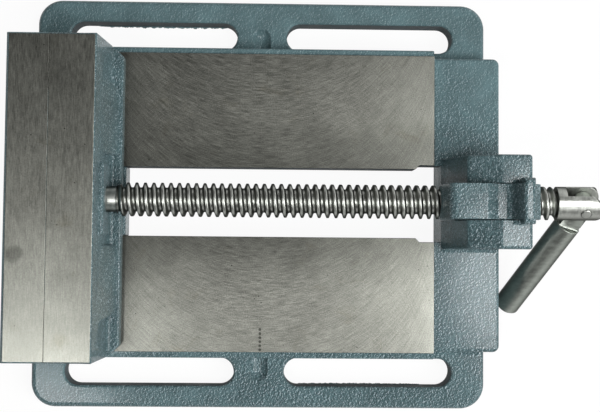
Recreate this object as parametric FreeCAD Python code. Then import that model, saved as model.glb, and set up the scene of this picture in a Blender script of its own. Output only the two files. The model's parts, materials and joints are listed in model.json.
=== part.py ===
import FreeCAD, Part
import math
import os
from FreeCAD import Vector

# A quick-release drill press vise, in millimetres.
# The origin is the centre of the four clamp slots on the underside.
# +X points along the screw towards the handle, +Y across the jaws and +Z up.

# Jaws
jaw_width = 150.0
jaw_travel = 150.0
jaw_height = 72.0
fixed_jaw_thickness = 19.5
head_thickness = 21.5
head_draft = 2.4
jaw_edge_chamfer = 0.6
jaw_back_chamfer = 1.2
jaw_closed_gap = 0.05
groove_height = 52.0
groove_depth = 3.0

# Movable jaw foot, guide tongue and back
foot_length = 29.8
foot_height = 8.0
foot_inset = 2.0
foot_corner_cut = 3.5
foot_edge_radius = 1.0
tongue_length = 31.2
tongue_setback = 2.5
wedge_inner = 21.5
wedge_outer = 56.0
wedge_spread = 28.0
wedge_top_drop = 10.0
wedge_slant = 6.0
wedge_edge_radius = 1.2
boss_width = 34.0
boss_reach = 24.5
boss_top = 62.0
boss_edge_radius = 1.5

# Bed and ways
way_height = 30.0
way_gap = 33.8
rail_depth = 14.0
ledge_width = 3.0
ledge_drop = 1.5
bed_shoulder = 1.0
bed_edge_radius = 1.0
way_margin = 2.1
relief_length = 13.0
relief_width = 1.9
channel_overlap = 13.0
pocket_width = 24.0
pocket_wall = 7.0
pocket_corner_radius = 5.0

# Flange and clamp slots
flange_thickness = 13.0
flange_corner_radius = 12.0
flange_edge_radius = 2.5
base_heel = 16.5
base_toe = 27.6
slot_width = 14.0
slot_bridge = 25.0
slot_end_rim = 16.5
slot_side_rim = 10.8
slot_to_bed = 1.2
slot_edge_chamfer = 0.8
scoop_radius = 5.0
scoop_depth = 2.6
scoop_length = 13.0
casting_cove = 2.5

# End platform, ears and cradle
platform_length = 32.6
platform_drop = 3.0
platform_inset = 0.5
platform_corner_radius = 3.2
platform_edge_radius = 1.6
ear_thickness = 13.4
ear_length = 36.6
ear_front_lean = 7.5
ear_shoulder_length = 14.5
ear_shoulder_drop = 7.0
ear_cover = 2.3
ear_edge_radius = 1.5
ear_bend_radius = 3.0
ear_cove = 2.0
ear_undercut = 8.0

# Lead screw
screw_height = 50.0
screw_diameter = 16.0
neck_diameter = 12.0
neck_show = 5.0
nose_length = 19.0
nose_groove_depth = 1.6
head_standoff = 14.5
head_diameter = 16.0
head_length = 21.4
clevis_slot = 6.4
clevis_depth = 16.9
screw_end_chamfer = 1.0

# Crank handle
handle_diameter = 12.7
handle_reach = 74.0
handle_tip_chamfer = 1.6
handle_tongue_length = 14.0
handle_tongue_width = 10.0
handle_pin_diameter = 5.0
handle_pin_proud = 0.2
head_roll = 42.0
handle_fold = 112.5

# Release lever
lever_width = 16.4
lever_nose_reach = 33.3
lever_nose_lean = 3.0
lever_nose_radius = 3.5
lever_nut_length = 17.8
lever_top = 22.8
lever_lip = 5.0
lever_dip_length = 6.8
lever_dip_slope = 4.3
lever_dip_depth = 2.8
lever_bend_radius = 3.0
lever_tab_width = 21.0
lever_tab_top = 32.0
lever_tab_foot = 13.4
lever_tab_front = 17.0
lever_tab_back = 22.3
lever_tab_radius = 1.8
lever_tab_corner = 3.0
lever_tail_length = 27.7
lever_tail_rise = 3.2
lever_tail_drop = 1.6
lever_tail_radius = 1.4
lever_lip_radius = 1.0
pivot_pin_diameter = 5.0
pivot_floor = 1.9
pivot_from_ear_end = 8.3

# Keeper plate and its bolts
keeper_thickness = 7.0
keeper_width = 54.0
keeper_setback = 1.0
bolt_diameter = 6.0
bolt_head_width = 10.0
bolt_head_height = 4.0
bolt_spacing = 13.5
bolt_engagement = 13.0
washer_diameter = 12.0
washer_thickness = 1.6
retaining_pin_diameter = 4.0
retaining_pin_length = 20.0

# How far a cutting shape passes a face, and how closely places are compared
past = 1.0
close = 1e-6

# Fits
slide_clearance = 0.25
under_rail_clearance = 0.3
bore_clearance = 0.06
thread_clearance = 0.3
lever_over_screw = 0.6
pivot_pin_recess = 0.2
pin_top_drop = 1.0
lever_side_clearance = 0.3
pin_clearance = 0.05
tongue_clearance = 0.2
bolt_hole_clearance = 0.3
press_clearance = 0.01

# Places along X that follow from the sizes above
flange_length = base_heel + foot_length + jaw_travel + way_margin + base_toe
jaw_face_x = base_heel - flange_length / 2
way_end_x = jaw_face_x + foot_length + jaw_travel + way_margin
tongue_end_x = jaw_face_x + tongue_length
gap_end_x = tongue_end_x + jaw_travel + 2 * way_margin + slide_clearance
platform_end_x = way_end_x + platform_length
ear_end_x = gap_end_x + ear_length
boss_face_x = jaw_face_x + boss_reach
thread_start_x = boss_face_x + neck_show
head_start_x = ear_end_x + head_standoff
head_end_x = head_start_x + head_length
handle_pin_x = head_end_x - head_diameter / 2
pivot_x = ear_end_x - pivot_from_ear_end

# Places across Y
bed_half = jaw_width / 2 + bed_shoulder
pad_half = bed_half - ledge_width
gap_half = way_gap / 2
slot_centre_y = bed_half + slot_to_bed + slot_width / 2
flange_width = 2 * (slot_centre_y + slot_width / 2 + slot_side_rim)
slot_length = (flange_length - 2 * slot_end_rim - slot_bridge) / 2
slot_centre_x = (slot_length + slot_bridge) / 2
tongue_half = gap_half - slide_clearance
lever_half = lever_width / 2
ear_inner = lever_half + lever_side_clearance
ear_outer = ear_inner + ear_thickness
channel_half = gap_half + channel_overlap

# Heights
rail_bottom = way_height - rail_depth
platform_top = way_height - platform_drop
foot_top = way_height + foot_height
screw_radius = screw_diameter / 2
head_radius = head_diameter / 2
neck_radius = neck_diameter / 2
nut_radius = screw_radius + thread_clearance
pivot_radius = pivot_pin_diameter / 2
lever_underside = screw_height + nut_radius + lever_over_screw
pivot_z = lever_underside + pivot_floor + pivot_radius
ear_top = pivot_z + pivot_radius + ear_cover
keeper_top = rail_bottom - under_rail_clearance
keeper_bottom = keeper_top - keeper_thickness
screw_axis_point = Vector(0, 0, screw_height)

X_AXIS = Vector(1, 0, 0)
Y_AXIS = Vector(0, 1, 0)
Z_AXIS = Vector(0, 0, 1)


def block(x0, x1, y0, y1, z0, z1):
    return Part.makeBox(x1 - x0, y1 - y0, z1 - z0, Vector(x0, y0, z0))


def side_prism(points, half_width):
    """A prism with its outline in the XZ plane, centred on Y = 0."""
    corners = [Vector(x, -half_width, z) for x, z in points]
    face = Part.Face(Part.makePolygon(corners + corners[:1]))
    return face.extrude(Vector(0, 2 * half_width, 0))


def side_wall(points, y0, y1):
    wall = side_prism(points, (y1 - y0) / 2)
    wall.translate(Vector(0, (y0 + y1) / 2, 0))
    return wall


def rounded_corner(before, corner, after, radius):
    """The two tangent points of a rounded corner, and the middle of the arc between them."""
    back = (before - corner).normalize()
    ahead = (after - corner).normalize()
    half_angle = back.getAngle(ahead) / 2
    reach = radius / math.tan(half_angle)
    middle = corner + (back + ahead).normalize() * (radius / math.sin(half_angle) - radius)
    return corner + back * reach, middle, corner + ahead * reach


def rounded_side_prism(corners, half_width):
    """A prism like side_prism, where each corner is (x, z, radius)."""
    points = [Vector(x, -half_width, z) for x, z, radius in corners]
    edges = []
    joins = []
    for i, (x, z, radius) in enumerate(corners):
        start, end = points[i], points[i]
        if radius > 0:
            following = points[(i + 1) % len(points)]
            start, middle, end = rounded_corner(points[i - 1], points[i], following, radius)
            edges.append(Part.Arc(start, middle, end).toShape())
        joins.append((start, end))
    for i, (start, end) in enumerate(joins):
        edges.append(Part.makeLine(joins[i - 1][1], start))
    face = Part.Face(Part.Wire(Part.__sortEdges__(edges)))
    return face.extrude(Vector(0, 2 * half_width, 0))


def cove(corner, along, out, up, radius):
    """A casting fillet for an inner corner: a strip whose face is a hollow quarter round."""
    middle = corner + (out + up) * (radius * (1 - math.sqrt(0.5)))
    curve = Part.Arc(corner + out * radius, middle, corner + up * radius).toShape()
    sides = [Part.makeLine(corner, corner + out * radius), curve, Part.makeLine(corner + up * radius, corner)]
    return Part.Face(Part.Wire(sides)).extrude(along)


def edges_inside(shape, x0, x1, y0, y1, z0, z1):
    """Edges that lie wholly inside a box."""
    found = []
    for edge in shape.Edges:
        box = edge.BoundBox
        if box.XMin > x0 and box.XMax < x1 and box.YMin > y0 and box.YMax < y1:
            if box.ZMin > z0 and box.ZMax < z1:
                found.append(edge)
    return found


def edges_along(shape, axis):
    """Straight edges that run along one axis."""
    found = []
    for edge in shape.Edges:
        way = edge.valueAt(edge.LastParameter) - edge.valueAt(edge.FirstParameter)
        if way.Length > 0 and abs(abs(way.dot(axis)) - edge.Length) < close:
            found.append(edge)
    return found


def edges_at_height(shape, z):
    return [e for e in shape.Edges if e.BoundBox.ZMin > z - close and e.BoundBox.ZMax < z + close]


def rounded_plate(x0, x1, y0, y1, z0, z1, corner_radius, top_radius):
    plate = block(x0, x1, y0, y1, z0, z1)
    plate = plate.makeFillet(corner_radius, edges_along(plate, Z_AXIS))
    return plate.makeFillet(top_radius, edges_at_height(plate, z1))


def round_slot(cx, cy, length, width, z0, z1):
    """A straight-walled slot along X with round ends."""
    reach = (length - width) / 2
    body = block(cx - reach, cx + reach, cy - width / 2, cy + width / 2, z0, z1)
    ends = [Part.makeCylinder(width / 2, z1 - z0, Vector(cx + s * reach, cy, z0)) for s in (-1, 1)]
    return body.fuse(ends)


def x_cylinder(radius, x0, x1, y=0.0, z=screw_height):
    return Part.makeCylinder(radius, x1 - x0, Vector(x0, y, z), X_AXIS)


def y_cylinder(radius, x, z, half_length):
    return Part.makeCylinder(radius, 2 * half_length, Vector(x, -half_length, z), Y_AXIS)


def z_cylinder(radius, x, y, z0, z1):
    return Part.makeCylinder(radius, z1 - z0, Vector(x, y, z0), Z_AXIS)


# Base casting

def flange():
    """The flange plate with its four slots, eased round the slots' upper rims."""
    plate = rounded_plate(-flange_length / 2, flange_length / 2, -flange_width / 2, flange_width / 2,
                          0, flange_thickness, flange_corner_radius, flange_edge_radius)
    plate = plate.cut(clamp_slots())
    reach_x = slot_centre_x + slot_length / 2 + slot_edge_chamfer
    reach_y = slot_centre_y + slot_width / 2 + slot_edge_chamfer
    rims = edges_inside(plate, -reach_x, reach_x, -reach_y, reach_y, flange_thickness - slot_edge_chamfer,
                        flange_thickness + slot_edge_chamfer)
    return plate.makeChamfer(slot_edge_chamfer, rims)


def clamp_slots():
    return [round_slot(sx * slot_centre_x, sy * slot_centre_y, slot_length, slot_width,
                       -flange_thickness, 2 * flange_thickness)
            for sx in (-1, 1) for sy in (-1, 1)]


def bridge_scoops():
    """Round-bottomed scoops in the flange between the slots, beside the bed."""
    axis_height = flange_thickness + scoop_radius - scoop_depth
    scoops = []
    for side in (-1, 1):
        start = Vector(0, side * bed_half, axis_height)
        groove = Part.makeCylinder(scoop_radius, scoop_length - scoop_radius, start, Y_AXIS * side)
        end = Part.makeSphere(scoop_radius, start + Y_AXIS * side * (scoop_length - scoop_radius))
        scoops.append(groove.fuse(end))
    return scoops


def bed():
    ledge_top = way_height - ledge_drop
    body = block(-flange_length / 2, way_end_x, -bed_half, bed_half, 0, ledge_top)
    body = body.makeFillet(bed_edge_radius, [e for e in edges_along(body, X_AXIS) if e.BoundBox.ZMin > 0])
    pads = block(jaw_face_x, way_end_x, -pad_half, pad_half, rail_bottom, way_height)
    return body.fuse(pads)


def end_platform():
    half = pad_half - platform_inset
    start = way_end_x - platform_length
    plate = rounded_plate(start, platform_end_x, -half, half, 0, platform_top,
                          platform_corner_radius, platform_edge_radius)
    return plate.common(block(way_end_x - ledge_width, platform_end_x, -half, half, 0, platform_top))


def casting_coves():
    """Fillets where the bed, the platform and the ears rise from flat metal."""
    strips = []
    bridge_half = slot_bridge / 2
    side_start = way_end_x
    side_length = flange_length / 2 - flange_edge_radius - side_start
    platform_half = pad_half - platform_inset
    ear_length_on_top = platform_end_x - platform_edge_radius - gap_end_x
    for side in (-1, 1):
        out = Y_AXIS * side
        bridge = Vector(-bridge_half, side * bed_half, flange_thickness)
        strips.append(cove(bridge, X_AXIS * slot_bridge, out, Z_AXIS, casting_cove))
        platform_side = Vector(side_start, side * platform_half, flange_thickness)
        strips.append(cove(platform_side, X_AXIS * side_length, out, Z_AXIS, casting_cove))
        ear_foot = Vector(gap_end_x, side * ear_outer, platform_top)
        strips.append(cove(ear_foot, X_AXIS * ear_length_on_top, out, Z_AXIS, ear_cove))
    return strips


def fixed_jaw():
    back = jaw_face_x - fixed_jaw_thickness
    foot_back = -flange_length / 2
    step = foot_back - back
    outline = [(jaw_face_x, 0), (jaw_face_x, jaw_height), (back, jaw_height),
               (back, flange_thickness + 2 * step), (foot_back, flange_thickness), (foot_back, 0)]
    jaw = side_prism(outline, jaw_width / 2)
    jaw = jaw.makeChamfer(jaw_back_chamfer, [e for e in edges_at_height(jaw, jaw_height)
                                             if e.BoundBox.XMax < jaw_face_x - close])
    return jaw.makeChamfer(jaw_edge_chamfer, [e for e in edges_at_height(jaw, jaw_height)
                                              if e.BoundBox.YLength < close])


def ear(side):
    """One of the two cheeks that carry the release lever's pin."""
    shoulder_start = gap_end_x + ear_front_lean
    shoulder_end = shoulder_start + ear_shoulder_length
    corners = [(gap_end_x, rail_bottom, 0), (gap_end_x, platform_top, ear_edge_radius),
               (shoulder_start, ear_top - ear_shoulder_drop, ear_bend_radius),
               (shoulder_end, ear_top, ear_bend_radius),
               (ear_end_x, ear_top, ear_edge_radius),
               (ear_end_x, platform_top + ear_undercut, ear_bend_radius),
               (platform_end_x - ear_edge_radius, rail_bottom, 0)]
    cheek = rounded_side_prism(corners, ear_thickness / 2)
    cheek.translate(Vector(0, ear_inner + ear_thickness / 2, 0))
    rounded = [e for e in cheek.Edges if e.BoundBox.YMin > ear_outer - close and
               e.BoundBox.ZMax > platform_top]
    cheek = cheek.makeFillet(ear_edge_radius, rounded)
    return cheek if side > 0 else cheek.mirror(Vector(0, 0, 0), Y_AXIS)


def cradle():
    """The web between the ears, hollowed to pass under the screw."""
    web = side_prism([(gap_end_x, rail_bottom), (gap_end_x, platform_top),
                      (gap_end_x + ear_front_lean / 2, screw_height),
                      (ear_end_x, screw_height), (ear_end_x, platform_top + ear_undercut),
                      (platform_end_x - ear_edge_radius, rail_bottom)], ear_inner)
    return web.cut(x_cylinder(ear_inner, gap_end_x - past, ear_end_x + past))


def way_gap_cut():
    """The gap between the ways with its relief at the far end, and the keeper's channel below."""
    top = way_height + past
    gap = block(jaw_face_x, gap_end_x, -gap_half, gap_half, -past, top)
    relief_half = gap_half + relief_width
    relief = block(gap_end_x - relief_length, gap_end_x, -relief_half, relief_half, -past, top)
    lead_in = [e for e in edges_along(relief, Z_AXIS) if e.BoundBox.XMax < gap_end_x - close]
    relief = relief.makeChamfer(relief_width, lead_in)
    channel = block(jaw_face_x, gap_end_x, -channel_half, channel_half, -past, rail_bottom)
    return [gap, relief, channel]


def underside_pockets():
    """Cored pockets under the bed that leave a rib beside the keeper channel."""
    inner = channel_half + pocket_wall
    first = jaw_face_x + pocket_wall
    length = (way_end_x - first - 2 * pocket_wall) / 2
    pockets = []
    for side in (-1, 1):
        y0, y1 = sorted((side * inner, side * (inner + pocket_width)))
        for i in range(2):
            x0 = first + i * (length + pocket_wall)
            pocket = block(x0, x0 + length, y0, y1, -past, rail_bottom)
            pockets.append(pocket.makeFillet(pocket_corner_radius, edges_along(pocket, Z_AXIS)))
    return pockets


def base_casting():
    solid = flange().fuse([bed(), end_platform(), fixed_jaw(), ear(1), ear(-1)] + casting_coves())
    solid = solid.cut(way_gap_cut() + underside_pockets() + clamp_slots() + bridge_scoops())
    solid = solid.fuse(cradle())
    pin_hole = y_cylinder(pivot_radius + press_clearance, pivot_x, pivot_z, ear_outer + past)
    return solid.cut(pin_hole).removeSplitter()


# Movable jaw

def jaw_front_x():
    return jaw_face_x + jaw_closed_gap


def jaw_head():
    back = jaw_face_x + head_thickness
    outline = [(jaw_front_x(), way_height), (jaw_front_x(), jaw_height), (back, jaw_height),
               (back + head_draft, foot_top), (back + head_draft, way_height)]
    head = side_prism(outline, jaw_width / 2)
    top = [e for e in edges_at_height(head, jaw_height) if e.BoundBox.XMin > jaw_front_x() + close or
           e.BoundBox.YLength < close]
    return head.makeChamfer(jaw_edge_chamfer, top)


def back_x(z):
    """Where the drafted back of the jaw's head lies at a height."""
    share = (jaw_height - z) / (jaw_height - foot_top)
    return jaw_face_x + head_thickness + head_draft * share


def jaw_foot():
    half = jaw_width / 2 - foot_inset
    foot = block(jaw_front_x(), jaw_face_x + foot_length, -half, half, way_height, foot_top)
    corners = [e for e in edges_along(foot, Z_AXIS) if e.BoundBox.XMin > jaw_face_x + past]
    foot = foot.makeChamfer(foot_corner_cut, corners)
    rim = edges_inside(foot, jaw_face_x + head_thickness, jaw_face_x + foot_length + past,
                       -jaw_width, jaw_width, foot_top - close, foot_top + past)
    return foot.makeFillet(foot_edge_radius, rim)


def foot_cove():
    """The fillet between the jaw's back and its foot."""
    half = jaw_width / 2 - foot_inset - foot_edge_radius
    corner = Vector(back_x(foot_top + casting_cove), -half, foot_top)
    return cove(corner, Y_AXIS * (2 * half), X_AXIS, Z_AXIS, casting_cove)


def jaw_wedges():
    """Thickened pads on the jaw's back that slope out to the foot, with slanted outer ends."""
    back = jaw_face_x + head_thickness - jaw_edge_chamfer
    edge = jaw_face_x + wedge_spread
    outline = [(back, way_height), (back, jaw_height - wedge_top_drop), (edge, foot_top), (edge, way_height)]
    slope = side_wall(outline, wedge_inner, wedge_outer + wedge_slant)
    plan = [Vector(back, wedge_inner, way_height), Vector(edge, wedge_inner, way_height),
            Vector(edge, wedge_outer - wedge_slant / 2, way_height),
            Vector(back, wedge_outer + wedge_slant / 2, way_height)]
    pad = Part.Face(Part.makePolygon(plan + plan[:1])).extrude(Vector(0, 0, jaw_height - way_height))
    pad = pad.common(slope)
    ridges = [e for e in pad.Edges if e.BoundBox.ZMin > foot_top - close and e.BoundBox.XMax > edge - close
              and e.BoundBox.ZLength > past]
    pad = pad.makeFillet(wedge_edge_radius, ridges)
    return [pad, pad.mirror(Vector(0, 0, 0), Y_AXIS)]


def screw_boss():
    boss = block(jaw_front_x() + groove_depth, boss_face_x, -boss_width / 2, boss_width / 2,
                 way_height, boss_top)
    rounded = [e for e in boss.Edges if e.BoundBox.XMin > boss_face_x - close and e.BoundBox.ZMax > foot_top]
    return boss.makeFillet(boss_edge_radius, rounded)


def guide_tongue():
    return block(jaw_face_x + tongue_setback, tongue_end_x, -tongue_half, tongue_half,
                 keeper_top, way_height + past)


def work_groove():
    """A level V-groove across the jaw's face, for round work."""
    front = jaw_front_x() - past
    reach = groove_depth + past
    outline = [(front, groove_height + reach), (jaw_front_x() + groove_depth, groove_height),
               (front, groove_height - reach)]
    return side_prism(outline, jaw_width)


def bolt_places():
    middle = (jaw_face_x + tongue_setback + tongue_end_x) / 2
    return [middle - bolt_spacing / 2, middle + bolt_spacing / 2]


def nose_groove_x():
    return (bolt_places()[0] + bolt_places()[1]) / 2


def retaining_pin_y():
    groove_radius = neck_radius - nose_groove_depth
    return groove_radius + pin_clearance + retaining_pin_diameter / 2


def movable_jaw():
    solid = jaw_head().fuse([jaw_foot(), foot_cove(), screw_boss(), guide_tongue()] + jaw_wedges())
    bore = x_cylinder(neck_radius + bore_clearance, boss_face_x - nose_length - past, boss_face_x + past)
    cuts = [work_groove(), bore]
    for x in bolt_places():
        cuts.append(z_cylinder(bolt_diameter / 2 + press_clearance, x, 0,
                               keeper_top - past, keeper_top + bolt_engagement + past))
    for side in (-1, 1):
        cuts.append(z_cylinder(retaining_pin_diameter / 2 + press_clearance, nose_groove_x(),
                               side * retaining_pin_y(), keeper_top - past, screw_height + neck_radius))
    return solid.cut(cuts).removeSplitter()


def jaw_keeper_plate():
    start = jaw_face_x + tongue_setback + keeper_setback
    plate = block(start, tongue_end_x - keeper_setback, -keeper_width / 2, keeper_width / 2,
                  keeper_bottom, keeper_top)
    hole_radius = bolt_diameter / 2 + bolt_hole_clearance
    holes = [z_cylinder(hole_radius, x, 0, keeper_bottom - past, keeper_top + past) for x in bolt_places()]
    return plate.cut(holes)


def hex_bolt(x):
    """A bolt that points up, with its head's top face at the washer."""
    seat = keeper_bottom - washer_thickness
    corner = bolt_head_width / math.sqrt(3)
    turns = [i * math.pi / 3 for i in range(6)]
    ring = [Vector(x + corner * math.cos(t), corner * math.sin(t), seat - bolt_head_height) for t in turns]
    head = Part.Face(Part.makePolygon(ring + ring[:1])).extrude(Vector(0, 0, bolt_head_height))
    shank = z_cylinder(bolt_diameter / 2, x, 0, seat - bolt_head_height / 2, keeper_top + bolt_engagement)
    return head.fuse(shank).removeSplitter()


def keeper_bolts():
    return Part.makeCompound([hex_bolt(x) for x in bolt_places()])


def keeper_washers():
    hole_radius = bolt_diameter / 2 + bolt_hole_clearance
    underside = keeper_bottom - washer_thickness
    rings = []
    for x in bolt_places():
        disc = z_cylinder(washer_diameter / 2, x, 0, underside, keeper_bottom)
        hole = z_cylinder(hole_radius, x, 0, underside - past, keeper_bottom + past)
        rings.append(disc.cut(hole))
    return Part.makeCompound(rings)


def screw_retaining_pins():
    top = screw_height + neck_radius - pin_top_drop
    bottom = top - retaining_pin_length
    pins = [z_cylinder(retaining_pin_diameter / 2, nose_groove_x(), side * retaining_pin_y(), bottom, top)
            for side in (-1, 1)]
    return Part.makeCompound(pins)


# Lead screw and handle, built with the pin upright and then rolled to their place

def rolled(shape):
    return shape.rotate(screw_axis_point, X_AXIS, head_roll)


def clevis_head():
    head = x_cylinder(head_radius, head_start_x, head_end_x)
    slot = block(head_end_x - clevis_depth, head_end_x + past, -head_diameter, head_diameter,
                 screw_height - clevis_slot / 2, screw_height + clevis_slot / 2)
    round_end = z_cylinder(head_radius, handle_pin_x, 0, screw_height - head_diameter,
                           screw_height + head_diameter)
    barrel = block(head_start_x, handle_pin_x, -head_diameter, head_diameter,
                   screw_height - head_diameter, screw_height + head_diameter)
    pin_hole = z_cylinder(handle_pin_diameter / 2 + press_clearance, handle_pin_x, 0,
                          screw_height - head_diameter, screw_height + head_diameter)
    return head.common(barrel.fuse(round_end)).cut([slot, pin_hole])


def lead_screw():
    thread = x_cylinder(screw_radius, thread_start_x, head_start_x)
    thread = thread.makeChamfer(screw_end_chamfer, [e for e in thread.Edges
                                                    if e.BoundBox.XMax < thread_start_x + close])
    nose = x_cylinder(neck_radius, boss_face_x - nose_length, thread_start_x + past)
    groove_width = retaining_pin_diameter + 2 * pin_clearance
    collar = x_cylinder(screw_radius, nose_groove_x() - groove_width / 2, nose_groove_x() + groove_width / 2)
    core = x_cylinder(neck_radius - nose_groove_depth, nose_groove_x() - groove_width,
                      nose_groove_x() + groove_width)
    nose = nose.cut(collar.cut(core))
    return rolled(thread.fuse([nose, clevis_head()]).removeSplitter())


def handle_pin():
    length = head_diameter + 2 * handle_pin_proud
    pin = z_cylinder(handle_pin_diameter / 2, handle_pin_x, 0, screw_height - length / 2,
                     screw_height + length / 2)
    return rolled(pin)


def crank_handle():
    radius = handle_diameter / 2
    start = Vector(handle_pin_x, 0, screw_height)
    bar = Part.makeCylinder(radius, handle_reach, start, X_AXIS)
    bar = bar.makeChamfer(handle_tip_chamfer, [e for e in bar.Edges
                                               if e.BoundBox.XMin > handle_pin_x + handle_reach - close])
    tongue_half_height = clevis_slot / 2 - tongue_clearance
    tongue_half_width = handle_tongue_width / 2
    tongue_end = handle_pin_x + handle_tongue_length
    stub = block(handle_pin_x - radius, tongue_end, -radius, radius,
                 screw_height - radius, screw_height + radius)
    tongue = block(handle_pin_x, tongue_end + past, -tongue_half_width, tongue_half_width,
                   screw_height - tongue_half_height, screw_height + tongue_half_height)
    eye = z_cylinder(tongue_half_width, handle_pin_x, 0, screw_height - tongue_half_height,
                     screw_height + tongue_half_height)
    hole = z_cylinder(handle_pin_diameter / 2 + pin_clearance, handle_pin_x, 0, screw_height - radius,
                      screw_height + radius)
    handle = bar.cut(stub).fuse([tongue, eye]).cut(hole).removeSplitter()
    handle.rotate(start, Z_AXIS, -handle_fold)
    return rolled(handle)


# Release lever

def lever_corners():
    """The lever seen from the side, as (x, z, radius): nose, dip, thumb tab, tail and underside."""
    nose = pivot_x - lever_nose_reach
    top = screw_height + lever_top
    tab = screw_height + lever_tab_top
    nut_end = nose + lever_nut_length
    lip = screw_height + lever_lip
    dip = top - lever_dip_depth
    tail = nut_end + lever_tail_length
    return [(nose, lip, lever_lip_radius), (nose + lever_nose_lean, top, lever_nose_radius),
            (nut_end + lever_dip_length - lever_dip_slope, top, lever_bend_radius),
            (nut_end + lever_dip_length, dip, lever_bend_radius),
            (nut_end + lever_tab_foot, dip, lever_bend_radius),
            (nut_end + lever_tab_front, tab, lever_tab_radius),
            (nut_end + lever_tab_back, tab, lever_tab_radius),
            (nut_end + lever_tab_back, pivot_z + lever_tab_back - lever_tab_foot, lever_bend_radius),
            (tail, pivot_z + lever_tail_rise, lever_tail_radius),
            (tail, pivot_z - lever_tail_drop, lever_tail_radius),
            (pivot_x + lever_tail_rise, lever_underside, lever_bend_radius),
            (nut_end, lever_underside, 0), (nut_end, lip, lever_lip_radius)]


def lever_tab():
    """The flared thumb tab, which overhangs the ears."""
    nut_end = pivot_x - lever_nose_reach + lever_nut_length
    tab = screw_height + lever_tab_top
    top = screw_height + lever_top
    bottom = ear_top + lever_tab_radius
    front, back = nut_end + lever_tab_front, nut_end + lever_tab_back
    side = [(front, bottom, 0), (front, tab, lever_tab_radius),
            (back, tab, lever_tab_radius), (back, bottom, 0)]
    plate = rounded_side_prism(side, lever_tab_width / 2)
    flare = [(-lever_half, bottom), (-lever_tab_width / 2, top), (-lever_tab_width / 2, tab),
             (lever_tab_width / 2, tab), (lever_tab_width / 2, top), (lever_half, bottom)]
    corners = [Vector(front - past, y, z) for y, z in flare]
    gauge = Part.Face(Part.makePolygon(corners + corners[:1])).extrude(Vector(back - front + 2 * past, 0, 0))
    upper = [e for e in edges_along(gauge, X_AXIS) if e.BoundBox.ZMin > tab - close]
    return plate.common(gauge.makeFillet(lever_tab_corner, upper))


def release_lever():
    solid = rounded_side_prism(lever_corners(), lever_half).fuse(lever_tab())
    nose = pivot_x - lever_nose_reach
    bore = x_cylinder(nut_radius, nose - past, nose + lever_nut_length + past)
    hole = y_cylinder(pivot_radius + pin_clearance, pivot_x, pivot_z, lever_width)
    return solid.cut([bore, hole]).removeSplitter()


def lever_pivot_pin():
    return y_cylinder(pivot_radius, pivot_x, pivot_z, ear_outer - pivot_pin_recess)


NODES = {
    "base_casting": base_casting,
    "movable_jaw": movable_jaw,
    "jaw_keeper_plate": jaw_keeper_plate,
    "keeper_bolts": keeper_bolts,
    "keeper_washers": keeper_washers,
    "screw_retaining_pins": screw_retaining_pins,
    "lead_screw": lead_screw,
    "handle_pin": handle_pin,
    "crank_handle": crank_handle,
    "release_lever": release_lever,
    "lever_pivot_pin": lever_pivot_pin,
}

os.makedirs("parts", exist_ok=True)
for name, make in NODES.items():
    shape = make()
    print(name, len(shape.Solids), shape.isValid(), round(shape.Volume, 1))
    shape.exportStep("parts/" + name + ".step")
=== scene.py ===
import json
import math

import bmesh
import bpy
from mathutils import Euler, Matrix, Vector

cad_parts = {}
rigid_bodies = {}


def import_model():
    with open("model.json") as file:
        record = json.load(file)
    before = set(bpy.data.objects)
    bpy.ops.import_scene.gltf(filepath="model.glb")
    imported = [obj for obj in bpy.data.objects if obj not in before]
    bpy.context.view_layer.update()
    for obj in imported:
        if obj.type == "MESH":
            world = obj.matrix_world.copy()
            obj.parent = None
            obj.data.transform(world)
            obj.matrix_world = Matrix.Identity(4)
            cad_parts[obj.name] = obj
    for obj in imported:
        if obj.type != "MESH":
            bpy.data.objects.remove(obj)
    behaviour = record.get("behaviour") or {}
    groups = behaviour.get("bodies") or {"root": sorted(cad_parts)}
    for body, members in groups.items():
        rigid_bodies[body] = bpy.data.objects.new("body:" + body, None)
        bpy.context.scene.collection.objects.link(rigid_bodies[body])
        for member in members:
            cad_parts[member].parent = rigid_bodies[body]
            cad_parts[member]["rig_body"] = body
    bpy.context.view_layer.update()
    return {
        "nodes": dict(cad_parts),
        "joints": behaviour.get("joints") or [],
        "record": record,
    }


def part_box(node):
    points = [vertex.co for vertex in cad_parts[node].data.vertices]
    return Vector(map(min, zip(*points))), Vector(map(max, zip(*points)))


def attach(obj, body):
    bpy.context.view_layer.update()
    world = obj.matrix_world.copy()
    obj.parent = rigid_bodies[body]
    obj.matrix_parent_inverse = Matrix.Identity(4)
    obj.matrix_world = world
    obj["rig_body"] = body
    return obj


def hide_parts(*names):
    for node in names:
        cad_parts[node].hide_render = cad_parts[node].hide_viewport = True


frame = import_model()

bl_info = {
    "name": "Drill Press Vise",
    "version": (1, 0, 0),
    "blender": (4, 5, 0),
    "location": "View3D > Sidebar > Vise",
    "description": "Finishes the pieces of a quick-release drill press vise and lights them",
    "category": "Object",
}

MM = 0.001

# Angles and distances that tell one kind of CAD face from another
SAME_POINT = 0.002 * MM
FLAT_ANGLE = math.radians(0.6)
EDGE_ANGLE = math.radians(27)
LEAST_CORNER = math.radians(38)
ON_PLANE = 0.05 * MM
STRAIGHT = 0.99


def joint_place(name):
    return Vector(next(joint for joint in frame["joints"] if joint["name"] == name)["pos_m"])


def mount_size(name, size):
    mount = next(mount for mount in frame["record"]["mounts"] if mount["name"] == name)
    return mount["dims"][size] * MM


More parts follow.
